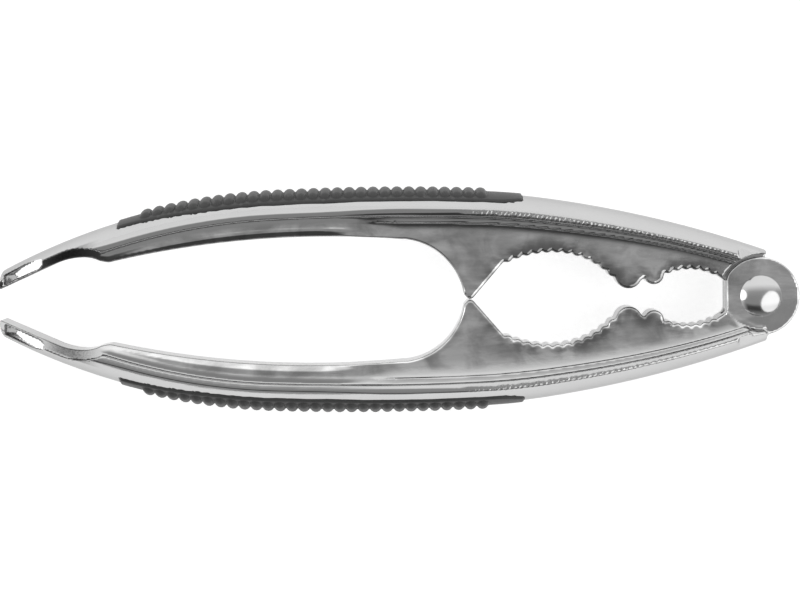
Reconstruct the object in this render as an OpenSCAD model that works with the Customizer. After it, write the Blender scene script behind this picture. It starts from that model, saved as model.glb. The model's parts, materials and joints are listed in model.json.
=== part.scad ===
// Plier nutcracker: two chromed cast arms that hinge on one domed rivet.
// Each arm is a crowned band with a flat web under it, and the webs carry a large and a
// small toothed jaw. A ribbed rubber grip is let into the crown of each handle.
// The tool lies flat: X runs along the handles, towards the hinge, and Z is the hinge axis.

/* [Overall] */
// Length over everything, closed
length = 190; // [186:1:200]
// Full width of the crowned band across the handles
band_w = 18; // [16:0.5:20]
// Radius of the crown across the band
crown_r = 12.5; // [12:0.5:20]

/* [Knuckle] */
// Outer radius of the fork ears
ear_r = 9.3; // [9:0.1:9.6]
// Thickness of the web and of the whole knuckle
web_t = 10; // [8:0.5:11]
// Thickness of the upper arm's lug, which turns between the ears
lug_t = 3.6; // [3:0.1:4]
// Side clearance between the lug and each ear
lug_gap = 0.1; // [0.05:0.05:0.2]
// Radial gap between the ears and the recess in the upper arm
recess_gap = 0.8; // [0.5:0.1:1]
// Radius of the rivet's shank
pin_r = 2.5; // [2:0.1:3]
// Radial running clearance between the shank and the lug
pin_gap = 0.05; // [0.03:0.01:0.1]

/* [Rivet heads] */
// Radius of each head
head_r = 4.9; // [4:0.1:5.5]
// Height of each dome
head_h = 2.2; // [1.5:0.1:2.8]

/* [Jaws] */
// Height of one tooth of the jaws
tooth_h = 0.6; // [0.3:0.1:0.8]
// Teeth in each half of the large jaw
large_teeth = 12; // [8:1:14]
// Teeth in each half of the small jaw
small_teeth = 6; // [4:1:7]
// Gap between the closed tips, measured from the middle plane
tip_gap = 0.1; // [0.08:0.01:0.3]

/* [Grips] */
// Ribs on each grip
ribs = 29; // [20:1:31]
// Distance between ribs
rib_pitch = 2.85; // [2.7:0.05:2.9]
// Height of a rib above the grip's ground
rib_h = 0.6; // [0.3:0.1:0.9]
// Full width of a grip
grip_w = 13.6; // [12:0.2:14]
// Height of the grip's ground above the crown
grip_up = 0.7; // [0.4:0.1:1]
// Depth of the grip's seat below the crown
grip_down = 0.8; // [0.5:0.1:1]

/* [Hidden] */
$fn = 96;

// Everything below is drawn about the hinge: X = 0 on its axis, Z = 0 in its middle plane.
// It describes the upper arm, on the +Y side. The lower arm is its mirror image.
hinge_x = length / 2 - ear_r;
tip_x = ear_r - length;
half_w = band_w / 2;
eps = 0.01;

// The crown's side outline is a chain of arcs that meet in tangents. Each station has an X
// and the tilt of the outline's normal, from +Y towards +X.
crown_x = [2, -50, -66, -116, tip_x];
crown_tilt = [19.5, 8.4, 2.3, -2.3, -27.8];
crown_y0 = 10.8;
function arc_r(i) = (crown_x[i] - crown_x[i + 1]) / (sin(crown_tilt[i]) - sin(crown_tilt[i + 1]));
function arc_x(i) = crown_x[i] - arc_r(i) * sin(crown_tilt[i]);
function station_y(i) = i == 0 ? crown_y0 : arc_y(i - 1) + arc_r(i - 1) * cos(crown_tilt[i]);
function arc_y(i) = station_y(i) - arc_r(i) * cos(crown_tilt[i]);
last_arc = len(crown_x) - 2;

function arc_of(x) = x > crown_x[1] ? 0 : x > crown_x[2] ? 1 : x > crown_x[3] ? 2 : 3;
// A place on the crown: [x, y, tilt of its normal]
function crown_at(x) =
    let (i = arc_of(x), tilt = asin((x - arc_x(i)) / arc_r(i)))
    [x, arc_y(i) + arc_r(i) * cos(tilt), tilt];
// A point at height h above that place, at Z = z
function above(c, h, z) = [c[0] + h * sin(c[2]), c[1] + h * cos(c[2]), z];
// Height of the crown's own surface at z, below its ridge
function sag(z, r) = sqrt(r * r - z * z) - r;

// Section of the band: crown, edge land, then a slope down into the web
land_h = 4.5;
band_h = 8.7;
root_z = web_t / 2 - 0.5;
crown_steps = 12;
band_step = 5;

// Plan of the band: it narrows by a wide arc to the hinge and a tighter one to the tip
wide_from = -57;
wide_to = -150;
hinge_plan_r = 1500;
tip_plan_r = 110;
tip_round = 2.2;
tip_spare = 3;
function half_width(x) =
    x > wide_from ? half_w + sag(x - wide_from, hinge_plan_r)
    : x < wide_to ? half_w + sag(x - wide_to, tip_plan_r)
    : half_w;

// Inner edge of the arm, from the tip to the hinge: circles [x, y, radius]
heel_top = [-160.7, 11];
heel_slope = 24.2;
heel_r1 = 16;
heel_r2 = 8;
step_x = -154.8;
handle_edge = [-104.5, -212.7, 228];
throat = [-86.3, -1.4, 16];
beak = [-69, 1.2 + tip_gap, 1.2];
large_front = [-49.5, -14.85, 26];
large_back = [-49.5, -8.85, 20];
lobe_a = [-31.3, 5.35, 3.2];
lobe_b = [-25.3, 5.45, 2.4];
small_jaw = [-17, -7.25, 14];
flat_x = -8;

// Grip: a strip of the crown's shell, with rounded corners and ribs across it
grip_tip = -152.6;
grip_end = -56.4;
first_rib = -146;
grip_corner = 3;
corner_steps = [0, 0.06, 0.2, 0.45, 0.75, 1];
rib_half = 1;
rib_shape = [[-1, 0], [-0.55, 0.8], [0, 1], [0.55, 0.8], [1, 0]];
// Across the grip, as parts of its half width: the ribs reach rib_reach, then fade out
rib_reach = 0.74;
rib_fade = 0.88;

function at(c, a) = [c[0] + c[2] * cos(a), c[1] + c[2] * sin(a)];
function arc(c, a0, a1, n) = [for (i = [0:n]) at(c, a0 + (a1 - a0) * i / n)];
function angle_at(c, x) = acos((x - c[0]) / c[2]);
// Toothed arc: rounded teeth stand into the jaw, with a sharp valley between them
function toothed(c, a0, a1, teeth, steps) = [
    for (i = [0:teeth * steps])
        let (t = i / steps, bump = abs(sin(180 * t)))
        at([c[0], c[1], c[2] + tooth_h * (0.5 - bump)], a0 + (a1 - a0) * t / teeth)
];

throat_meet = atan2(throat[1] - handle_edge[1], throat[0] - handle_edge[0]);
jaw_start_x = -60.8;
front_teeth = round(large_teeth * 0.42);
back_teeth = large_teeth - front_teeth;

heel = concat(
    [[tip_x, heel_top[1] - heel_r1 * (1 - cos(heel_slope))
        - tan(heel_slope) * (heel_top[0] - heel_r1 * sin(heel_slope) - tip_x)]],
    arc([heel_top[0], heel_top[1] - heel_r1, heel_r1], 90 + heel_slope, 90, 8),
    arc([heel_top[0], heel_top[1] - heel_r2, heel_r2], 90, 62, 6)
);
handle_side = arc(handle_edge, angle_at(handle_edge, step_x), throat_meet, 24);
beak_side = concat(
    arc(throat, throat_meet, 8, 20),
    arc(beak, 185, 325, 10)
);
large_jaw = concat(
    toothed(large_front, angle_at(large_front, jaw_start_x), 90, front_teeth, 6),
    toothed(large_back, 90, 43, back_teeth, 6)
);
lobes = concat(arc(lobe_a, 205, 335, 12), arc(lobe_b, 200, 335, 10));
small_side = toothed(small_jaw, angle_at(small_jaw, -22.6), angle_at(small_jaw, -10.5), small_teeth, 6);
small_end = at(small_jaw, angle_at(small_jaw, flat_x));
inner_edge = concat(heel, handle_side, beak_side, large_jaw, lobes, small_side, [small_end]);

// Everything on the arm's side of its inner edge
module arm_side() {
    polygon(concat(inner_edge, [[-1, 7], [4, 7], [4, 40], [tip_x, 40]]));
}

// The web ends inside the band, at an even depth below the crown
web_inset = land_h + 0.5;
web_step = 6;
web_back = [for (x = [tip_x:web_step:crown_x[0] + web_step]) above(crown_at(x), -web_inset, 0)];

module web_outline() {
    intersection() {
        arm_side();
        polygon(concat([for (p = web_back) [p[0], p[1]]], [[4, -1], [tip_x, -1]]));
    }
}

module slab(t) {
    translate([0, 0, -t / 2]) linear_extrude(t) children();
}

// Solid through rings of the same number of points, from the tip towards the hinge
module loft(rings) {
    n = len(rings[0]);
    last = len(rings) - 1;
    sides = [
        for (i = [0:last - 1], j = [0:n - 1])
            let (a = i * n + j, b = i * n + (j + 1) % n)
            each [[a, b, b + n], [a, b + n, a + n]]
    ];
    polyhedron([for (r = rings) each r],
        concat([[for (j = [n - 1:-1:0]) j]], [[for (j = [0:n - 1]) last * n + j]], sides));
}

function band_ring(x) =
    let (c = crown_at(x), w = half_width(x))
    concat(
        [for (k = [0:crown_steps]) let (z = w - 2 * w * k / crown_steps) above(c, sag(z, crown_r), z)],
        [above(c, -land_h, -w), above(c, -band_h, -root_z), above(c, -band_h, root_z), above(c, -land_h, w)]
    );

module band() {
    span = crown_x[0] - tip_x + tip_spare;
    n = ceil(span / band_step);
    loft([for (k = [n:-1:0]) band_ring(crown_x[0] - span * k / n)]);
}

// Waste outside the rounded corner where the crown meets the tip's end face
module tip_corner() {
    tilt = -crown_tilt[last_arc + 1];
    centre = [tip_x + tip_round, station_y(last_arc + 1) + tan(tilt) * tip_round - tip_round / cos(tilt)];
    difference() {
        polygon([
            [tip_x - 1, centre[1]], centre,
            centre + 2 * tip_round * [-sin(tilt), cos(tilt)], [tip_x - 1, centre[1] + 2 * tip_round]
        ]);
        translate(centre) circle(tip_round);
    }
}

// Hollow in each face of the handle's tip, inside a thin rim
module tip_hollow() {
    depth = web_t / 2 - 2;
    rim = 1;
    run = 11;
    near_h = 1.4;
    far_h = 0.8;
    x0 = tip_x + rim;
    y0 = heel[0][1] + rim;
    y1 = y0 + tan(heel_slope) * run;
    for (s = [-1, 1])
        translate([0, 0, s * (web_t / 2 + half_w) - s * depth])
            slab(band_w)
                polygon([[x0, y0], [x0 + run, y1], [x0 + run, y1 + far_h], [x0, y0 + near_h]]);
}

// Half width of a grip at x, with a quarter round at each corner
function grip_half(x) =
    let (d = min(x - grip_tip, grip_end - x, grip_corner))
    grip_w / 2 - grip_corner + sqrt(max(0, grip_corner * grip_corner - (grip_corner - d) ^ 2));

// Ring of a grip at x: top points at height h plus the rib's bump, then the seat's floor
function grip_ring(x, h, bump) =
    let (c = crown_at(x), w = grip_half(x),
        full = min(1, grip_w / 2 / w) * rib_reach,
        top = [[1, 0], [rib_fade, 0], [full, 1], [0.37, 1], [0, 1],
            [-0.37, 1], [-full, 1], [-rib_fade, 0], [-1, 0]])
    concat(
        [for (t = top) let (z = t[0] * w) above(c, sag(z, crown_r) + h + t[1] * bump, z)],
        [for (t = [-1, -0.5, 0, 0.5, 1]) above(c, sag(t * w, crown_r) - grip_down, t * w)]
    );

// Stations over the corners at the two ends of a grip
tip_corner_x = [for (s = corner_steps) grip_tip + s * grip_corner];
end_corner_x = [for (i = [len(corner_steps) - 1:-1:0]) grip_end - corner_steps[i] * grip_corner];

module grip_seat() {
    middle = [for (x = [grip_tip + 6:band_step:grip_end - 5]) x];
    loft([for (x = concat(tip_corner_x, middle, end_corner_x)) grip_ring(x, 4, 0)]);
}

module grip_shape() {
    loft(concat(
        [for (x = tip_corner_x) grip_ring(x, grip_up, 0)],
        [for (i = [0:ribs - 1], s = rib_shape)
            grip_ring(first_rib + i * rib_pitch + s[0] * rib_half, grip_up, s[1] * rib_h)],
        [for (x = end_corner_x) grip_ring(x, grip_up, 0)]
    ));
}

// Common arm, without its half of the knuckle
module arm_blank() {
    difference() {
        union() {
            intersection() {
                band();
                slab(2 * band_w) arm_side();
            }
            slab(web_t) web_outline();
        }
        slab(2 * band_w) tip_corner();
        tip_hollow();
        grip_seat();
    }
}

// Knuckle: the lug stops inside the ears' outline, the slot clears it at its root, and the
// lower arm's band laps over the rim of the ears
lug_inset = 0.2;
slot_spare = 0.4;
band_lap = 1;

module disc(r, z0, z1) {
    translate([0, 0, z0]) linear_extrude(z1 - z0) circle(r, $fn = 180);
}

module cut_flat(t) {
    intersection() {
        children();
        translate([flat_x, -2 * ear_r, -t]) cube([4 * ear_r, 4 * ear_r, 2 * t]);
    }
}

module upper_shape() {
    recess_r = ear_r + recess_gap;
    lug_r = ear_r - lug_inset;
    difference() {
        union() {
            difference() {
                arm_blank();
                for (s = [0, 1]) mirror([0, 0, s]) disc(recess_r, lug_t / 2, band_w);
            }
            cut_flat(lug_t) disc(lug_r, -lug_t / 2, lug_t / 2);
        }
        disc(pin_r + pin_gap, -band_w, band_w);
    }
}

module lower_shape() {
    slot = lug_t / 2 + lug_gap;
    difference() {
        union() {
            mirror([0, 1, 0]) arm_blank();
            cut_flat(web_t) disc(ear_r, -web_t / 2, web_t / 2);
        }
        disc(ear_r + slot_spare, -slot, slot);
        for (s = [0, 1]) mirror([0, 0, s]) disc(ear_r - band_lap, web_t / 2, band_w);
        disc(pin_r, -band_w, band_w);
    }
}

module rivet_shape() {
    dome_r = (head_r * head_r + head_h * head_h) / (2 * head_h);
    disc(pin_r, -web_t / 2 - eps, web_t / 2 + eps);
    for (s = [0, 1]) mirror([0, 0, s])
        intersection() {
            translate([0, 0, web_t / 2 + head_h - dome_r]) sphere(dome_r, $fn = 96);
            disc(head_r, web_t / 2, web_t / 2 + head_h + 1);
        }
}

module place() {
    translate([hinge_x, 0, half_w]) children();
}

module lower_arm() {
    color("silver") place() lower_shape();
}

module upper_arm() {
    color("silver") place() upper_shape();
}

module pivot_rivet() {
    color("gainsboro") place() rivet_shape();
}

module lower_grip() {
    color("dimgray") place() mirror([0, 1, 0]) grip_shape();
}

module upper_grip() {
    color("dimgray") place() grip_shape();
}

lower_arm();
upper_arm();
pivot_rivet();
lower_grip();
upper_grip();
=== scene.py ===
"""Plier nutcracker: chromed die-cast arms, one domed rivet and ribbed rubber grips.

Shapes are worked out in millimetres about the hinge: X = 0 on its axis, Z = 0 in the tool's middle plane,
with the upper arm on the +Y side. The lower arm mirrors it, apart from its half of the knuckle.
"""

import json
import math

import bpy
import numpy as np
from mathutils import Matrix, Vector


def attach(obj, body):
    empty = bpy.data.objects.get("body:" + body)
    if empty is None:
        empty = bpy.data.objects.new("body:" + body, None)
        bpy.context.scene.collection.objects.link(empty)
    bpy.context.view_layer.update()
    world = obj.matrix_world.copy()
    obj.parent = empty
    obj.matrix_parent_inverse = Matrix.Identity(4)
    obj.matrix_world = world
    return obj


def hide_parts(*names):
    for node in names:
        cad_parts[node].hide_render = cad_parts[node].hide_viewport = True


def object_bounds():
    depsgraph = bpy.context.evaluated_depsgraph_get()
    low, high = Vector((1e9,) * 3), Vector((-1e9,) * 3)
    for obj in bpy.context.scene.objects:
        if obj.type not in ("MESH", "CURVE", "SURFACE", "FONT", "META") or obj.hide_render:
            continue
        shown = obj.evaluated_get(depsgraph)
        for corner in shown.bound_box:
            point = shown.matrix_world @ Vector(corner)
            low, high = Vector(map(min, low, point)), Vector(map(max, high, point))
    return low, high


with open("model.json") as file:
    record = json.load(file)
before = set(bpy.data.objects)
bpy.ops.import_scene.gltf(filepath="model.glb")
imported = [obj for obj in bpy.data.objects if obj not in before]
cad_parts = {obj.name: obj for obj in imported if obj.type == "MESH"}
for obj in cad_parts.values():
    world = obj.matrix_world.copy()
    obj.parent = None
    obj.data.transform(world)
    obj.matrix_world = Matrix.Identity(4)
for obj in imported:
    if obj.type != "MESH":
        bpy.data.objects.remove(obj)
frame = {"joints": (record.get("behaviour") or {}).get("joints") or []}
cad_low, cad_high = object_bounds()

MM = 0.001
HINGE = Vector(frame["joints"][0]["pos_m"])
BODY = {"lower": "lower_half", "upper": "upper_half"}

# ---------------------------------------------------------------- driving sizes, mm
LENGTH = (cad_high.x - cad_low.x) / MM
EAR_R = 9.3
TIP_X = EAR_R - LENGTH
HALF_W = (cad_high.z - cad_low.z) / MM / 2
WEB = 5.0
LUG = 1.8
SLOT = 1.9
CROWN_R = 12.5
PIN_R = 2.5
HEAD_R, HEAD_H, HEAD_SKIRT = 4.9, 2.2, 0.35

# Crown outline: arcs that meet in tangents, as stations of X and the tilt of the normal towards +X
CROWN_X = [2.0, -50.0, -66.0, -116.0, TIP_X]
CROWN_TILT = [19.5, 8.4, 2.3, -2.3, -27.8]
CROWN_Y0 = 10.8

# Plan of the band
WIDE_FROM, WIDE_TO = -57.0, -150.0
HINGE_PLAN_R, TIP_PLAN_R = 1500.0, 110.0

# Inner edge: circles as (x, y, radius)
HEEL_TOP = (-160.7, 11.0)
HEEL_R1, HEEL_R2 = 16.0, 8.0
HEEL_SLOPE = 24.2
HANDLE_EDGE = (-104.5, -212.7, 228.0)
THROAT = (-86.3, -1.4, 16.0)
BEAK = (-69.0, 1.3, 1.2)
LARGE_FRONT = (-49.5, -14.85, 26.0)
LARGE_BACK = (-49.5, -8.85, 20.0)
LOBE_A = (-31.3, 5.35, 3.2)
LOBE_B = (-25.3, 5.45, 2.4)
SMALL_JAW = (-17.0, -7.25, 14.0)
FLAT_X = -8.0
STEP_X = -154.8
EDGE_END = [(-1.0, 7.0), (8.0, 7.0)]
TOOTH_H = 0.62

# Spacing of the grids that the arms and the grips are meshed on
ARM_VOXEL = 0.37
GRIP_VOXEL = 0.26


# ---------------------------------------------------------------- crown outline
def crown_arcs():
    """Each arc of the crown as (x from, x to, centre x, centre y, radius), from the hinge to the tip."""
    arcs, y = [], CROWN_Y0
    for i in range(len(CROWN_X) - 1):
        x0, x1 = CROWN_X[i], CROWN_X[i + 1]
        t0, t1 = math.radians(CROWN_TILT[i]), math.radians(CROWN_TILT[i + 1])
        r = (x0 - x1) / (math.sin(t0) - math.sin(t1))
        cx, cy = x0 - r * math.sin(t0), y - r * math.cos(t0)
        arcs.append((x0, x1, cx, cy, r))
        y = cy + r * math.cos(t1)
    return arcs


ARCS = crown_arcs()
FAR = 1e9


def crown_height(x, y):
    """Signed distance of (x, y) outwards from the crown's ridge line."""
    out = np.full(np.shape(x), np.nan)
    for k, (x0, x1, cx, cy, r) in enumerate(ARCS):
        # each arc owns the wedge between the normals at its two ends
        tilt = np.arctan2(x - cx, y - cy)
        high = math.asin((x0 - cx) / r) if k else math.pi
        low = math.asin((x1 - cx) / r) if k < len(ARCS) - 1 else -math.pi
        mine = np.isnan(out) & (tilt <= high) & (tilt > low)
        out = np.where(mine, np.hypot(x - cx, y - cy) - r, out)
    return np.where(np.isnan(out), np.hypot(x - ARCS[0][2], y - ARCS[0][3]) - ARCS[0][4], out)


def crown_lean(x):
    """Tilt of the crown's normal towards +X at x, in radians."""
    x = np.asarray(x, float)
    tilt = np.zeros_like(x)
    for k, (x0, x1, cx, _, r) in enumerate(ARCS):
        mine = (x <= x0 if k else x < FAR) & (x > x1 if k < len(ARCS) - 1 else x > -FAR)
        tilt = np.where(mine, np.arcsin(np.clip((x - cx) / r, -1, 1)), tilt)
    return tilt


def sag(x, r):
    """Height of an arc of radius r at x from its top, which is at 0."""
    return np.sqrt(np.maximum(r**2 - x**2, 1)) - r


def half_width(x):
    """Half width of the band at x: widest along the grip, narrower by arcs to the hinge and the tip."""
    x = np.asarray(x, float)
    near = HALF_W + sag(x - WIDE_FROM, HINGE_PLAN_R)
    far = HALF_W + sag(x - WIDE_TO, TIP_PLAN_R)
    return np.where(x > WIDE_FROM, near, np.where(x < WIDE_TO, far, HALF_W))


# ---------------------------------------------------------------- inner edge outline
def arc(circle, a0, a1, n):
    a = np.radians(np.linspace(a0, a1, n + 1))
    return np.c_[circle[0] + circle[2] * np.cos(a), circle[1] + circle[2] * np.sin(a)]


def angle_at(circle, x):
    return math.degrees(math.acos((x - circle[0]) / circle[2]))


def toothed(circle, a0, a1, teeth, steps=14):
    """Arc with rounded teeth that stand into the jaw and sharp valleys between them."""
    t = np.linspace(0, teeth, teeth * steps + 1)
    bump = np.abs(np.sin(math.pi * t)) ** 0.8
    a = np.radians(a0 + (a1 - a0) * t / teeth)
    r = circle[2] + TOOTH_H * (0.5 - bump)
    return np.c_[circle[0] + r * np.cos(a), circle[1] + r * np.sin(a)]


def inner_edge():
    """The arm's inner edge from the tip to the flat behind the small jaw."""
    slope = math.radians(HEEL_SLOPE)
    spare = 4
    x0 = HEEL_TOP[0] - HEEL_R1 * math.sin(slope)
    y0 = HEEL_TOP[1] - HEEL_R1 * (1 - math.cos(slope))
    start = [(TIP_X - spare, y0 - math.tan(slope) * (x0 - TIP_X + spare))]
    meet = math.degrees(math.atan2(THROAT[1] - HANDLE_EDGE[1], THROAT[0] - HANDLE_EDGE[0]))
    return np.vstack([
        start,
        arc((HEEL_TOP[0], HEEL_TOP[1] - HEEL_R1, HEEL_R1), 90 + HEEL_SLOPE, 90, 16),
        arc((HEEL_TOP[0], HEEL_TOP[1] - HEEL_R2, HEEL_R2), 89, 62, 12),
        arc(HANDLE_EDGE, angle_at(HANDLE_EDGE, STEP_X), meet, 80),
        arc(THROAT, meet - 1, 8, 50),
        arc(BEAK, 185, 325, 16),
        toothed(LARGE_FRONT, angle_at(LARGE_FRONT, -60.8), 90, 5),
        toothed(LARGE_BACK, 89.9, 43, 7),
        arc(LOBE_A, 205, 335, 24),
        arc(LOBE_B, 200, 335, 20),
        toothed(SMALL_JAW, angle_at(SMALL_JAW, -22.6), angle_at(SMALL_JAW, -10.5), 6),
        arc(SMALL_JAW, angle_at(SMALL_JAW, -10.3), angle_at(SMALL_JAW, FLAT_X), 6),
        EDGE_END,
    ])


def edge_field(xs, ys, line):
    """Signed distance from grid points to the polyline, positive on the open side, below it."""
    px, py = np.meshgrid(xs, ys, indexing="ij")
    p = np.stack([px.ravel(), py.ravel()], 1)
    best = np.full(len(p), FAR)
    a, b = line[:-1], line[1:]
    crossings = np.zeros(len(p), int)
    for (ax, ay), (bx, by) in zip(a, b):
        dx, dy = bx - ax, by - ay
        t = np.clip(((p[:, 0] - ax) * dx + (p[:, 1] - ay) * dy) / (dx * dx + dy * dy), 0, 1)
        d = np.hypot(p[:, 0] - ax - t * dx, p[:, 1] - ay - t * dy)
        best = np.minimum(best, d)
        # a ray straight down from the point crosses the line an odd number of times inside the metal
        hit = ((ax > p[:, 0]) != (bx > p[:, 0])) & (
            p[:, 1] > ay + dy * (p[:, 0] - ax) / np.where(dx == 0, 1e-9, dx)
        )
        crossings += hit
    inside = crossings % 2 == 1
    return np.where(inside, -best, best).reshape(px.shape)


# ---------------------------------------------------------------- signed distance helpers
def round_and(a, b, r):
    """Intersection with its edge rounded to radius r."""
    return np.minimum(np.maximum(a, b), -r) + np.hypot(np.maximum(a + r, 0), np.maximum(b + r, 0))


def round_or(a, b, r):
    """Union with its inside corner filled to radius r."""
    return -round_and(-a, -b, r)


def cut(a, b, r):
    """a less b, with the edge rounded to radius r."""
    return round_and(a, -b, r)


def smooth_step(x, a, b):
    t = np.clip((x - a) / (b - a), 0, 1)
    return t * t * (3 - 2 * t)


def between(x, a, b, c, d):
    """Rises from a to b and falls from c to d."""
    return smooth_step(x, a, b) * (1 - smooth_step(x, c, d))


# ---------------------------------------------------------------- arm as a distance field
# section, with distances measured inwards from the crown's ridge
LAND_FROM, LAND_D, LAND_END = 3.6, 4.8, 5.7
LAND_TILT, LAND_SLOPE = 0.1, 0.38
LEDGE_D, LEDGE_RISE, LEDGE_TILT = 7.2, 0.32, 0.2
SLOPE, SLOPE_D = 0.46, 9.3
NEAR_SHRINK = 0.27
FACE_TILT, RIPPLE, RIPPLE_STEP = 0.06, 0.09, 2.1
BEVEL_W, BEVEL_DROP, BEVEL_SLOPE, BEVEL_LIFT = 1.7, 0.55, 0.47, 1.3
HOLLOW_Z, HOLLOW_SLOPE, HOLLOW_END = 1.9, 0.42, -170.3
HOLLOW_RIMS, HOLLOW_WALL = (0.5, 1.3), 1.2
RECESS_GAP, LUG_INSET, PIN_GAP = 0.8, 0.2, 0.05
EAR_LAP, SLOT_SPARE = 1.2, 0.4
FACET_X, FACET_Z, FACET_LIFT = -8.0, 4.0, 6.0

# where the handle's section fades out: as distance from the hinge, and as X at the tip
HANDLE_JAW_END = (84, 106)
HANDLE_TIP_END = (-168, -155)
HANDLE_ROUNDER = 1.2

# roundings of the arm's edges
RIM_R, LEDGE_R, COVE_R = 0.3, 0.25, 0.8
CROWN_EDGE_R, END_R, SEAT_R = 0.22, 0.7, 0.12
HOLE_R, FINE_R = 0.1, 0.2

# rubber grip
GRIP_TIP, GRIP_END = -152.6, -56.4
GRIP_HALF, GRIP_CORNER = 6.8, 0.6
GRIP_DOWN, GRIP_UP = 0.8, 0.45
FIRST_RIB, RIB_PITCH, RIBS = -146.0, 2.85, 29
RIB_R, RIB_H = 1.45, 0.85


def grip_plan(x, z):
    """Signed distance to the grip's rounded plan outline."""
    qx = np.abs(x - (GRIP_TIP + GRIP_END) / 2) - (GRIP_END - GRIP_TIP) / 2 + GRIP_CORNER
    qz = np.abs(z) - grip_half(x) + GRIP_CORNER
    return np.hypot(np.maximum(qx, 0), np.maximum(qz, 0)) + np.minimum(np.maximum(qx, qz), 0) - GRIP_CORNER


def grip_half(x):
    """Half width of the grip: it narrows with the band towards the tip, and draws in at the jaw end."""
    x = np.asarray(x, float)
    draw = np.clip((x - GRIP_END + 7) / 7, 0, 1) ** 2
    return GRIP_HALF - 1.3 * smooth_step(-x, 126, 154) - 1.5 * draw


def handle_share(x):
    """1 along the handle, 0 beside the jaws and at the tip."""
    return smooth_step(-x, *HANDLE_JAW_END) * smooth_step(x, *HANDLE_TIP_END)


def crown_depth(x, h, z):
    """Signed distance outwards from the crown's round surface, which is rounder along the handle."""
    r = CROWN_R - HANDLE_ROUNDER * handle_share(x)
    return np.hypot(np.maximum(h + r, 0), z) - r


def moulding(w, d, za, near, fade):
    """The arm's section: edge land, ledge and cove down to the web, or the handle's rippled face."""
    land = w - LAND_TILT * np.maximum(d - LAND_FROM, 0)
    land = land - LAND_SLOPE * (1 - 0.7 * fade) * np.maximum(d - LAND_D, 0)
    rim = round_and(za - land, (d - LAND_END) * near, RIM_R)
    ledge_z = WEB - fade + (w - WEB) * LEDGE_RISE * (1 - fade) + LEDGE_TILT * (LEDGE_D - d)
    ledge = round_and(za - ledge_z, (d - LEDGE_D) * near, LEDGE_R)
    # along the handle the cove sinks out of sight below the face
    cove = (za - WEB + 1.5 * fade - SLOPE * (SLOPE_D - d) * near) / math.hypot(1, SLOPE)
    ripple = RIPPLE * np.sin(2 * np.pi * d / RIPPLE_STEP)
    face = WEB + fade * (FACE_TILT * np.maximum(d - LAND_D - 0.5, 0) + ripple)
    return round_or(rim, round_or(ledge, round_or(cove, za - face, COVE_R), LEDGE_R), RIM_R)


def handle_bevel(za, edge, fade):
    """What the bevel takes off the handle's inner edge. It rises clear of the face where the jaws begin."""
    over = za - WEB + BEVEL_DROP - BEVEL_LIFT * (1 - fade) + BEVEL_SLOPE * edge
    return np.maximum(-over / math.hypot(1, BEVEL_SLOPE), -edge - BEVEL_W - 0.5)


def tip_hollow(x, za, h, edge):
    """The hollow in each face near the tip, inside an end wall and two thin rims."""
    floor = HOLLOW_Z + HOLLOW_SLOPE * (x - TIP_X)
    inside = np.maximum(np.maximum(edge + HOLLOW_RIMS[0], h + HOLLOW_RIMS[1]), TIP_X + HOLLOW_WALL - x)
    inside = np.maximum(inside, x - HOLLOW_END)
    return round_and(inside, (floor - za) / math.hypot(1, HOLLOW_SLOPE), 0.25)


def upper_knuckle(body, x, za, r):
    """Clears the ears' turning circle and adds the lug, bored for the rivet."""
    body = cut(body, np.maximum(r - EAR_R - RECESS_GAP, LUG - za), 0.35)
    lug = round_and(np.maximum(r - EAR_R + LUG_INSET, FLAT_X - x), za - LUG, FINE_R)
    return cut(round_or(body, lug, HOLE_R), r - PIN_R - PIN_GAP, HOLE_R)


def lower_knuckle(body, x, za, r):
    """Adds the two ears, with the slot for the lug between them and the rivet's hole."""
    body = cut(body, np.maximum(r - EAR_R + EAR_LAP, WEB - za), 0.9)
    ears = round_and(round_and(r - EAR_R, FLAT_X - x, 0.6), za - WEB, 0.4)
    body = round_or(body, ears, 0.8)
    body = cut(body, np.maximum(r - EAR_R - SLOT_SPARE, za - SLOT), FINE_R)
    return cut(body, r - PIN_R, HOLE_R)


def arm_field(x, y, z, edge, side):
    """Signed distance to one arm. x, y and z broadcast together, and edge is the inner edge's field."""
    h = crown_height(x, y)
    w = half_width(x)
    za = np.abs(z)
    depth = crown_depth(x, h, z)
    fade = handle_share(x)

    # the moulding draws together towards the hinge
    near = 1 - NEAR_SHRINK * smooth_step(x, -62, 2)
    body = moulding(w, -h / near, za, near, fade)
    body = cut(body, handle_bevel(za, edge, fade), 0.3)

    # beside the knuckle the moulding gives way to a facet that falls towards the crown
    lift = FACET_LIFT * (1 - smooth_step(x, FACET_X, FACET_X + 3.0))
    body = round_and(body, (za + h - FACET_Z - lift) * math.sqrt(0.5), RIM_R)
    body = cut(body, tip_hollow(x, za, h, edge), 0.15)

    # crown, end face and inner edge, which is rounded more along the jaws
    body = round_and(body, round_and(depth, TIP_X - x, END_R), CROWN_EDGE_R)
    body = round_and(body, edge, 0.3 + 0.5 * smooth_step(x, -100, -75))

    # seat for the rubber
    seat = np.maximum(grip_plan(x, z), -(depth + GRIP_DOWN))
    body = cut(body, seat, SEAT_R)

    # the band ends square to its crown, behind the knuckle
    lean = math.radians(CROWN_TILT[0])
    end = (x - CROWN_X[0]) * math.cos(lean) - (y - CROWN_Y0) * math.sin(lean)
    body = round_and(body, end, 0.6)
    knuckle = upper_knuckle if side == "upper" else lower_knuckle
    return knuckle(body, x, za, np.hypot(x, y))


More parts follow.
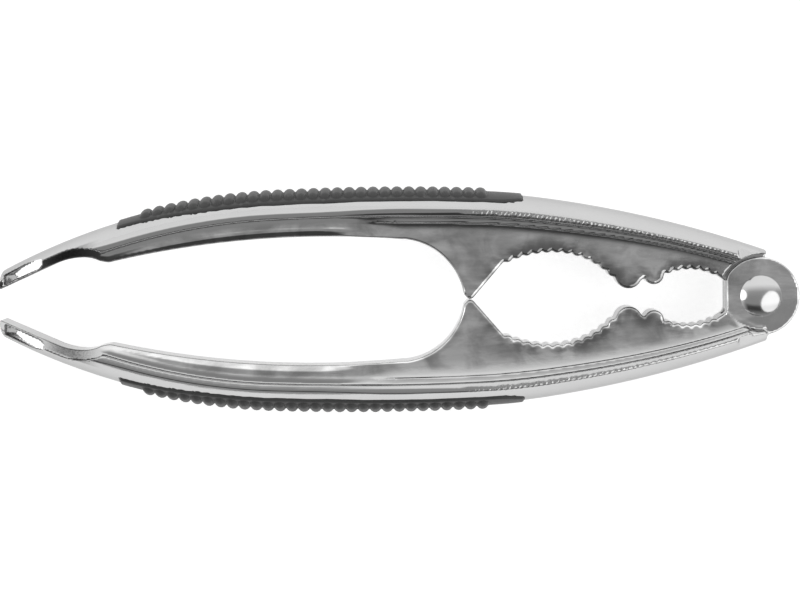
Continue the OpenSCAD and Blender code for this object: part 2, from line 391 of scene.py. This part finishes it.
def grip_field(x, y, z, edge, side):
    """Signed distance to one rubber grip: a strip of the crown's shell with round ribs across it."""
    depth = crown_depth(x, crown_height(x, y), z)
    body = round_and(grip_plan(x, z), depth - GRIP_UP, 0.4)
    i = np.clip(np.round((x - FIRST_RIB) / RIB_PITCH), 0, RIBS - 1)
    along = (x - FIRST_RIB - i * RIB_PITCH) * np.cos(crown_lean(x))
    reach = grip_half(x) - 0.35 - RIB_R
    up = depth - GRIP_UP - RIB_H + RIB_R
    rib = np.sqrt(along**2 + up**2 + np.maximum(np.abs(z) - reach, 0) ** 2) - RIB_R
    body = round_or(body, rib, 0.15)
    return np.maximum(body, -(depth + GRIP_DOWN) + 0.02)


# ---------------------------------------------------------------- meshing
EDGE_PAIRS = [(a, b) for a in range(8) for b in range(a + 1, 8) if bin(a ^ b).count("1") == 1]
CORNERS = np.array([[(c >> 2) & 1, (c >> 1) & 1, c & 1] for c in range(8)])


def surface_nets(field, origin, step):
    """Quads round the field's zero level: one vertex in each cell that the surface crosses."""
    inside = field < 0
    n = np.array(field.shape) - 1
    count = np.zeros(n, np.int8)
    for c in CORNERS:
        count += inside[c[0]:n[0] + c[0], c[1]:n[1] + c[1], c[2]:n[2] + c[2]]
    cells = np.argwhere((count > 0) & (count < 8))
    index = np.full(n, -1, np.int32)
    index[tuple(cells.T)] = np.arange(len(cells))
    total, hits = np.zeros((len(cells), 3)), np.zeros(len(cells))
    for a, b in EDGE_PAIRS:
        fa, fb = field[tuple((cells + CORNERS[a]).T)], field[tuple((cells + CORNERS[b]).T)]
        cross = (fa < 0) != (fb < 0)
        t = np.where(cross, fa / np.where(cross, fa - fb, 1), 0)
        total += cross[:, None] * (CORNERS[a] + t[:, None] * (CORNERS[b] - CORNERS[a]))
        hits += cross
    verts = origin + step * (cells + total / hits[:, None])
    quads = []
    for axis in range(3):
        u, v = (axis + 1) % 3, (axis + 2) % 3
        low = [slice(None)] * 3
        high = [slice(None)] * 3
        low[axis], high[axis] = slice(0, -1), slice(1, None)
        flips = np.argwhere(inside[tuple(low)] != inside[tuple(high)])
        flips = flips[(flips[:, u] > 0) & (flips[:, v] > 0) & (flips[:, u] < n[u]) & (flips[:, v] < n[v])]
        eu, ev = np.eye(3, dtype=int)[u], np.eye(3, dtype=int)[v]
        ring = [flips, flips - eu, flips - eu - ev, flips - ev]
        quad = np.stack([index[tuple(q.T)] for q in ring], 1)
        leaving = inside[tuple(flips.T)]
        quad[~leaving] = quad[~leaving][:, ::-1]
        quads.append(quad)
    return verts, np.vstack(quads)


class Casting:
    """A distance field on a grid, and its mesh."""

    def __init__(self, shape_field, side, low, high, step):
        self.field, self.side, self.step = shape_field, side, step
        self.origin = np.array(low, float)
        self.shape = np.ceil((np.array(high) - self.origin) / step).astype(int) + 1
        self.axes = [self.origin[i] + step * np.arange(self.shape[i]) for i in range(3)]
        self.edge = edge_field(self.axes[0], self.axes[1], inner_edge())

    def edge_at(self, x, y):
        """Bilinear look-up in the inner edge's field."""
        gx, gy = (x - self.origin[0]) / self.step, (y - self.origin[1]) / self.step
        i = np.clip(gx.astype(int), 0, self.shape[0] - 2)
        j = np.clip(gy.astype(int), 0, self.shape[1] - 2)
        fx, fy = gx - i, gy - j
        e = self.edge
        return (
            e[i, j] * (1 - fx) * (1 - fy) + e[i + 1, j] * fx * (1 - fy)
            + e[i, j + 1] * (1 - fx) * fy + e[i + 1, j + 1] * fx * fy
        )

    def value(self, p):
        return self.field(p[:, 0], p[:, 1], p[:, 2], self.edge_at(p[:, 0], p[:, 1]), self.side)

    def gradient(self, p, d=0.04):
        out = np.empty_like(p)
        for i in range(3):
            nudge = np.zeros(3)
            nudge[i] = d
            out[:, i] = (self.value(p + nudge) - self.value(p - nudge)) / (2 * d)
        return out

    def mesh(self):
        xs, ys, zs = self.axes
        x, y, z = xs[:, None, None], ys[None, :, None], zs[None, None, :]
        field = self.field(x, y, z, self.edge[:, :, None], self.side)
        field = np.ascontiguousarray(np.broadcast_to(field, self.shape))
        verts, quads = surface_nets(field, self.origin, self.step)
        for _ in range(3):
            g = self.gradient(verts)
            size = np.maximum((g * g).sum(1), 0.25)
            move = -self.value(verts)[:, None] * g / size[:, None]
            verts = verts + np.clip(move, -0.6 * self.step, 0.6 * self.step)
        g = self.gradient(verts)
        return verts, quads, g / np.maximum(np.linalg.norm(g, axis=1), 1e-6)[:, None]


# ---------------------------------------------------------------- Blender objects
def to_frame(points, side):
    """From millimetres about the hinge to metres in the row frame, mirrored for the lower arm."""
    flip = np.array([1.0, -1.0 if side == "lower" else 1.0, 1.0])
    return points * flip * MM + np.array(HINGE)


def as_list(values):
    """Plain lists, which from_pydata wants."""
    return values.tolist() if isinstance(values, np.ndarray) else values


def build(name, verts, faces, normals=None):
    me = bpy.data.meshes.new(name)
    me.from_pydata(as_list(verts), [], as_list(faces))
    me.validate()
    me.update()
    me.polygons.foreach_set("use_smooth", [True] * len(me.polygons))
    if normals is not None:
        me.normals_split_custom_set_from_vertices(normals.tolist())
    ob = bpy.data.objects.new(name, me)
    bpy.context.scene.collection.objects.link(ob)
    return ob


def cast(name, shape_field, side, low, high, step, material):
    """Meshes a distance field, and gives it its material."""
    casting = Casting(shape_field, side, low, high, step)
    verts, quads, normals = casting.mesh()
    flip = np.array([1.0, -1.0 if side == "lower" else 1.0, 1.0])
    if side == "lower":
        quads = quads[:, ::-1]
    ob = build(name, to_frame(verts, side), quads, normals * flip)
    ob.data.materials.append(material)
    return ob, verts, casting.edge_at(verts[:, 0], verts[:, 1])


def make_arm(side, material):
    low = (TIP_X - 1.0, -EAR_R - 1.0, -HALF_W - 0.8)
    high = (EAR_R + 1.0, 26.6, HALF_W + 0.8)
    ob, verts, edge = cast(f"{side}_arm_casting", arm_field, side, low, high, ARM_VOXEL, material)
    mark_faces(ob, verts, edge)
    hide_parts(f"{side}_arm")
    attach(ob, BODY[side])


def mark_faces(ob, verts, edge):
    """Vertex masks: coarse land beside the jaws, flat web, a painted dark reflection on the tip's shelf, and
    worn teeth.
    """
    x, za = verts[:, 0], np.abs(verts[:, 2])
    h = crown_height(x, verts[:, 1])
    flat = smooth_step(za, WEB - 0.9, WEB - 0.2)
    masks = {
        "rough_cast": between(h, -5.6, -5.0, -3.6, -3.3) * smooth_step(za, 6.4, 7.0)
        * between(x, -76, -60, -9, -4),
        "flat_cast": smooth_step(-h, 6.4, 7.6) * flat * (1 - smooth_step(za, WEB + 0.1, WEB + 0.6)),
        # painted dark reflection: the tip's shelf, which the next tone darkens
        "tip_painted_reflection": between(x, -172, -166, -164, -156) * smooth_step(za, 3.6, 4.4)
        * (1 - smooth_step(h, -2.6, -2.3)),
        "worn_teeth": smooth_step(edge, -3.6, -0.8) * between(x, -70, -62, -12, -6) * flat,
    }
    for name, values in masks.items():
        mask = ob.data.attributes.new(name, "FLOAT", "POINT")
        mask.data.foreach_set("value", values.astype(np.float32))


def make_grip(side, material):
    low = (GRIP_TIP - 1.0, 13.0, -GRIP_HALF - 1.0)
    high = (GRIP_END + 1.0, 28.4, GRIP_HALF + 1.0)
    ob, _, _ = cast(f"{side}_grip_rubber", grip_field, side, low, high, GRIP_VOXEL, material)
    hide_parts(f"{side}_grip")
    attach(ob, BODY[side])


def rivet_profile():
    """Half section of the rivet as (radius, z), from the top of one dome to the top of the other."""
    dome_r = (HEAD_R**2 + (HEAD_H - HEAD_SKIRT) ** 2) / (2 * (HEAD_H - HEAD_SKIRT))
    centre = WEB + HEAD_H - dome_r
    sweep = np.linspace(0, math.asin(HEAD_R / dome_r), 40)
    half = [(dome_r * math.sin(a), centre + dome_r * math.cos(a)) for a in sweep]
    half += [(HEAD_R, WEB + 0.12), (HEAD_R - 0.08, WEB + 0.02), (PIN_R, WEB + 0.02)]
    return half + [(r, -z) for r, z in reversed(half)]


def turned(profile, turns=128):
    """Vertices and faces of a profile turned round Z. Its first and last points lie on the axis."""
    verts, faces = [], []
    for r, z in profile[1:-1]:
        for k in range(turns):
            a = 2 * math.pi * k / turns
            verts.append((r * math.cos(a), r * math.sin(a), z))
    last = (len(profile) - 3) * turns
    for row in range(0, last, turns):
        for k in range(turns):
            a, b = row + k, row + (k + 1) % turns
            faces.append((a, a + turns, b + turns, b))
    top, bottom = len(verts), len(verts) + 1
    verts += [(0, 0, profile[0][1]), (0, 0, profile[-1][1])]
    for k in range(turns):
        faces.append((k, (k + 1) % turns, top))
        faces.append((last + (k + 1) % turns, last + k, bottom))
    return np.array(verts, float), faces


def make_rivet(material):
    """Shank and two domed heads as one turned solid."""
    points, faces = turned(rivet_profile())
    ob = build("domed_rivet", to_frame(points, "upper"), faces)
    ob.data.set_sharp_from_angle(angle=math.radians(35))
    ob.data.materials.append(material)
    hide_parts("pivot_rivet")
    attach(ob, BODY["lower"])


# ---------------------------------------------------------------- materials
# how much of its brightness the plate keeps at a glancing angle
EDGE_TINT = 0.7
# the paper's own glow, which keeps it white between the arms
FLOOR_GLOW = 1.34


class Nodes:
    """Short way to add and join shader nodes."""

    def __init__(self, name):
        self.material = bpy.data.materials.new(name)
        self.material.use_nodes = True
        self.tree = self.material.node_tree
        self.shader = self.tree.nodes["Principled BSDF"]

    def add(self, kind, inputs=None, **settings):
        node = self.tree.nodes.new(kind)
        for key, value in settings.items():
            setattr(node, key, value)
        for key, value in (inputs or {}).items():
            # a node that serves several types has an enabled socket for the one in use
            socket = node.inputs[key] if isinstance(key, int) else next(
                item for item in node.inputs if item.name == key and item.enabled)
            if isinstance(value, bpy.types.NodeSocket):
                self.tree.links.new(value, socket)
            else:
                socket.default_value = value
        return node

    def out(self, node, key):
        """The enabled output of that name."""
        return next(item for item in node.outputs if item.name == key and item.enabled)

    def set(self, **sockets):
        for key, value in sockets.items():
            socket = self.shader.inputs[key.replace("_", " ")]
            if isinstance(value, bpy.types.NodeSocket):
                self.tree.links.new(value, socket)
            else:
                socket.default_value = value


def set_stops(node, stops):
    """Fills a colour ramp with (position, value) stops, as greys."""
    points = node.color_ramp.elements
    while len(points) < len(stops):
        points.new(0.5)
    for point, (where, value) in zip(points, stops):
        point.position = where
        point.color = (value, value, value, 1)


def ramp(nodes, factor, stops):
    """Colour ramp from (position, value) stops, as greys."""
    node = nodes.add("ShaderNodeValToRGB", {"Fac": factor})
    set_stops(node, stops)
    return node.outputs["Color"]


def vertex_mask(n, name):
    return n.add("ShaderNodeAttribute", attribute_name=name).outputs["Fac"]


def product(n, a, b):
    return n.add("ShaderNodeMath", {0: a, 1: b}, operation="MULTIPLY").outputs[0]


def blend(n, factor, a, b):
    """Mix of two greys."""
    mix = n.add("ShaderNodeMix", {"Factor": factor, "A": a, "B": b}, data_type="RGBA")
    return n.out(mix, "Result")


def polish_wash(n, place):
    """Soft clouds crossed with slanting polishing streaks."""
    slanted = n.add("ShaderNodeMapping", {"Vector": place, "Rotation": (0, 0, -0.6), "Scale": (90, 330, 200)})
    streaks = n.add("ShaderNodeTexNoise", {
        "Vector": slanted.outputs["Vector"], "Scale": 1.0, "Detail": 5.0, "Roughness": 0.6})
    clouds = n.add("ShaderNodeTexNoise", {
        "Vector": place, "Scale": 120.0, "Detail": 3.0, "Roughness": 0.55, "Distortion": 0.6})
    wash = n.add("ShaderNodeMix", {"Factor": 0.4, "A": clouds.outputs["Fac"], "B": streaks.outputs["Fac"]})
    return n.out(wash, "Result")


def cast_marks(n, place):
    """Hatching broken up by pits, as on the coarse land beside the jaws."""
    pits = n.add("ShaderNodeTexVoronoi", {"Vector": place, "Scale": 1500.0})
    slanted = n.add("ShaderNodeMapping", {"Vector": place, "Rotation": (0, 0, 0.6), "Scale": (1, 1, 0.2)})
    hatch = n.add("ShaderNodeTexWave", {
        "Vector": slanted.outputs["Vector"], "Scale": 330.0, "Distortion": 3.0, "Detail": 2.0,
        "Detail Scale": 2.0}, wave_type="BANDS")
    return product(n, hatch.outputs["Fac"], pits.outputs["Distance"])


def chrome_tint(n, wash, grain, cloud):
    """Even on the crown, clouded on the webs, stained along the teeth, and with a painted dark reflection on
    the tip's shelf.
    """
    stain = ramp(n, wash, [(0.38, cloud - 0.07), (0.47, cloud + 0.07), (0.6, cloud + 0.3)])
    clean = ramp(n, wash, [(0.3, cloud), (0.7, cloud + 0.02)])
    plated = blend(n, vertex_mask(n, "flat_cast"), clean, stain)
    patchy = product(n, vertex_mask(n, "worn_teeth"), ramp(n, wash, [(0.43, 0.9), (0.56, 0.0)]))
    used = blend(n, patchy, plated, (0.2, 0.2, 0.2, 1))
    # painted dark reflection on the tip's shelf, broken up by the grain
    painted_reflection_tone = ramp(n, grain, [(0.35, 0.13), (0.65, 0.24)])
    return blend(n, vertex_mask(n, "tip_painted_reflection"), used, painted_reflection_tone)


def chrome(name, cloud, rough):
    """Plated casting: bright metal with polishing clouds and streaks, fine grain and coarse land."""
    n = Nodes(name)
    place = n.add("ShaderNodeTexCoord").outputs["Object"]
    wash = polish_wash(n, place)
    grain = n.add("ShaderNodeTexNoise", {"Vector": place, "Scale": 2600.0, "Detail": 3.0}).outputs["Fac"]
    coarse = vertex_mask(n, "rough_cast")
    base_rough = ramp(n, wash, [(0.35, rough + 0.07), (0.6, rough)])
    worn = product(n, coarse, 0.14)
    roughness = n.add("ShaderNodeMath", {0: base_rough, 1: worn}, operation="ADD").outputs[0]

    fine = n.add("ShaderNodeBump", {"Height": grain, "Strength": 0.04, "Distance": 0.00005})
    swell = n.add("ShaderNodeBump", {
        "Height": wash, "Strength": 0.12, "Distance": 0.0006, "Normal": fine.outputs["Normal"]})
    cast_bump = n.add("ShaderNodeBump", {
        "Height": product(n, cast_marks(n, place), coarse), "Strength": 0.4, "Distance": 0.00014,
        "Normal": swell.outputs["Normal"]})
    n.set(Base_Color=chrome_tint(n, wash, grain, cloud), Metallic=1.0, Roughness=roughness)
    n.set(Normal=cast_bump.outputs["Normal"], Specular_Tint=(EDGE_TINT, EDGE_TINT, EDGE_TINT, 1.0))
    return n.material


def rubber(name):
    """Matt black moulded rubber with a fine texture, paler where it has been rubbed."""
    n = Nodes(name)
    place = n.add("ShaderNodeTexCoord").outputs["Object"]
    skin = n.add("ShaderNodeTexNoise", {"Vector": place, "Scale": 3200.0, "Detail": 3.0})
    patches = n.add("ShaderNodeTexNoise", {"Vector": place, "Scale": 170.0, "Detail": 4.0, "Roughness": 0.65})
    worn = n.add("ShaderNodeNewGeometry").outputs["Pointiness"]
    dust = ramp(n, patches.outputs["Fac"], [(0.35, 0.012), (0.7, 0.023)])
    edge = ramp(n, worn, [(0.49, 0.0), (0.56, 0.03)])
    colour = n.add("ShaderNodeMix", {"Factor": 1.0, "A": dust, "B": edge}, data_type="RGBA", blend_type="ADD")
    roughness = ramp(n, patches.outputs["Fac"], [(0.3, 0.5), (0.75, 0.64)])
    bump = n.add("ShaderNodeBump", {"Height": skin.outputs["Fac"], "Strength": 0.25, "Distance": 0.00008})
    n.set(Base_Color=n.out(colour, "Result"), Roughness=roughness, Normal=bump.outputs["Normal"])
    n.set(Specular_IOR_Level=0.5, Sheen_Weight=0.1, Sheen_Roughness=0.5)
    return n.material


def paper(name):
    """Plain pale floor with the faintest tooth."""
    n = Nodes(name)
    place = n.add("ShaderNodeTexCoord").outputs["Object"]
    tooth = n.add("ShaderNodeTexNoise", {"Vector": place, "Scale": 900.0, "Detail": 2.0})
    tone = ramp(n, tooth.outputs["Fac"], [(0.3, 0.54), (0.7, 0.56)])
    n.set(Base_Color=tone, Roughness=0.9, Emission_Color=tone, Emission_Strength=FLOOR_GLOW)
    return n.material


# ---------------------------------------------------------------- stage
# width that the camera sees at the tool, in metres
VIEW_W = 0.1903

# the room's tone by its lean: tangent of half the angle from overhead towards +Y
LEAN_REACH = 1.5
ROOM_TONES = [
    (-1.4, 0.8), (-0.75, 0.35), (-0.5, 0.06), (-0.38, 0.08), (-0.27, 0.38), (-0.04, 0.38),
    (0.06, 0.43), (0.14, 0.48), (0.25, 0.88), (0.38, 1.25), (1.0, 1.2),
]


def make_floor():
    ob = build("floor", [(-3, -3, 0), (3, -3, 0), (3, 3, 0), (-3, 3, 0)], [(0, 1, 2, 3)])
    ob.location.z = cad_low.z - 0.0002
    ob.data.materials.append(paper("floor_paper"))


def light(name, where, size, power, aim=(0, 0, 0)):
    data = bpy.data.lights.new(name, "AREA")
    data.shape = "ELLIPSE"
    data.size, data.size_y = size
    data.energy = power
    ob = bpy.data.objects.new(name, data)
    ob.location = where
    ob.rotation_euler = (Vector(aim) - Vector(where)).to_track_quat("-Z", "Y").to_euler()
    bpy.context.scene.collection.objects.link(ob)


def make_view():
    """Plain display transform, so that the white floor shows white."""
    view = bpy.context.scene.view_settings
    view.view_transform, view.look, view.exposure = "Standard", "None", 0.0


def make_world():
    """Studio room: grey overhead, paler towards +Y, dark low down at -Y, and bright near the horizon."""
    world = bpy.data.worlds.new("studio")
    bpy.context.scene.world = world
    world.use_nodes = True
    tree = world.node_tree
    background = tree.nodes["Background"]

    def node(kind, inputs=None, **settings):
        made = tree.nodes.new(kind)
        for key, value in settings.items():
            setattr(made, key, value)
        for key, value in (inputs or {}).items():
            if isinstance(value, bpy.types.NodeSocket):
                tree.links.new(value, made.inputs[key])
            else:
                made.inputs[key].default_value = value
        return made

    way = node("ShaderNodeTexCoord").outputs["Generated"]
    split = node("ShaderNodeSeparateXYZ", {"Vector": way})
    # tangent of half the angle from overhead, towards +Y and towards +X
    under = node("ShaderNodeMath", {0: split.outputs["Z"], 1: 1.02}, operation="ADD")
    lean = node("ShaderNodeMath", {0: split.outputs["Y"], 1: under.outputs[0]}, operation="DIVIDE")
    aside = node("ShaderNodeMath", {0: split.outputs["X"], 1: under.outputs[0]}, operation="DIVIDE")
    left = node("ShaderNodeMapRange", {
        "Value": aside.outputs[0], "From Min": -0.4, "From Max": -0.66, "To Max": 0.7})
    tone = node("ShaderNodeMapRange", {
        "Value": lean.outputs[0], "From Min": -LEAN_REACH, "From Max": LEAN_REACH})
    curve = node("ShaderNodeValToRGB", {"Fac": tone.outputs[0]})
    set_stops(curve, [((where + LEAN_REACH) / (2 * LEAN_REACH), value) for where, value in ROOM_TONES])
    brighter = node("ShaderNodeMath", {0: curve.outputs["Color"], 1: left.outputs[0]}, operation="MAXIMUM")
    tree.links.new(brighter.outputs[0], background.inputs["Color"])
    background.inputs["Strength"].default_value = 1.0


def make_lights():
    light("soft_left", (-0.85, 0.03, 0.42), (0.62, 0.62), 1.9)
    light("soft_right", (0.65, -0.34, 0.61), (1.3, 1.3), 5.8)


def make_camera():
    """Looks straight down the hinge's axis, leaning a little towards the upper arm."""
    data = bpy.data.cameras.new("camera")
    distance, lean, roll = 0.66, math.radians(3.0), math.radians(-0.65)
    middle = Vector((0.0, 0.0, HINGE.z + 0.004))
    back = Vector((0, math.sin(lean), math.cos(lean)))
    data.sensor_width = 36.0
    data.lens = 36.0 * distance / VIEW_W
    cam = bpy.data.objects.new("camera", data)
    right = Vector((1, 0, 0))
    aim = Matrix((right, back.cross(right), back)).transposed().to_4x4()
    cam.matrix_world = Matrix.Translation(middle + back * distance) @ aim @ Matrix.Rotation(roll, 4, "Z")
    data.clip_start, data.clip_end = 0.01, 20.0
    bpy.context.scene.collection.objects.link(cam)
    bpy.context.scene.camera = cam


plate = chrome("chrome_plate", cloud=0.50, rough=0.06)
make_arm("lower", plate)
make_arm("upper", plate)
moulded = rubber("moulded_rubber")
make_grip("lower", moulded)
make_grip("upper", moulded)
make_rivet(chrome("rivet_polish", cloud=0.54, rough=0.12))
make_floor()
make_world()
make_lights()
make_camera()
make_view()
